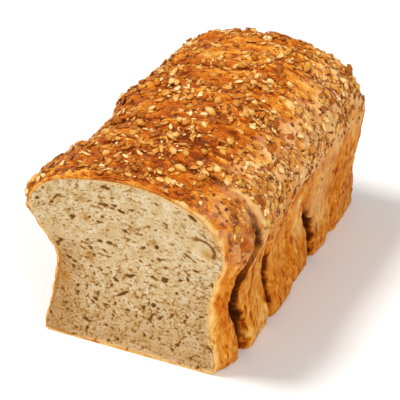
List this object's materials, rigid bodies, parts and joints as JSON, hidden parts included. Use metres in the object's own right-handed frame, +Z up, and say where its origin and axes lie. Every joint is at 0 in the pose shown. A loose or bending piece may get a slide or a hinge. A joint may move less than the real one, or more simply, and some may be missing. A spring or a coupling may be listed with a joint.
{
  "type": "sliced multigrain bread",
  "caption": "Tin-baked multigrain loaf cut straight across, with a seeded brown crown, golden walls folded into lobes and an open pale crumb on the cut face.",
  "frame": {"origin": "middle of the loaf's box, on the surface that it stands on", "axes": "+X across the cut face to its right as seen, +Y along the loaf from the cut face to the heel, +Z up"},
  "size_m": [0.1328, 0.2094, 0.1165],
  "materials": {
    "crust": "matte",
    "crumb": "matte",
    "pale_flakes": "matte",
    "dark_seeds": "satin"
  },
  "bodies": {
    "root": {"loaf": "crust"}
  },
  "joints": []
}
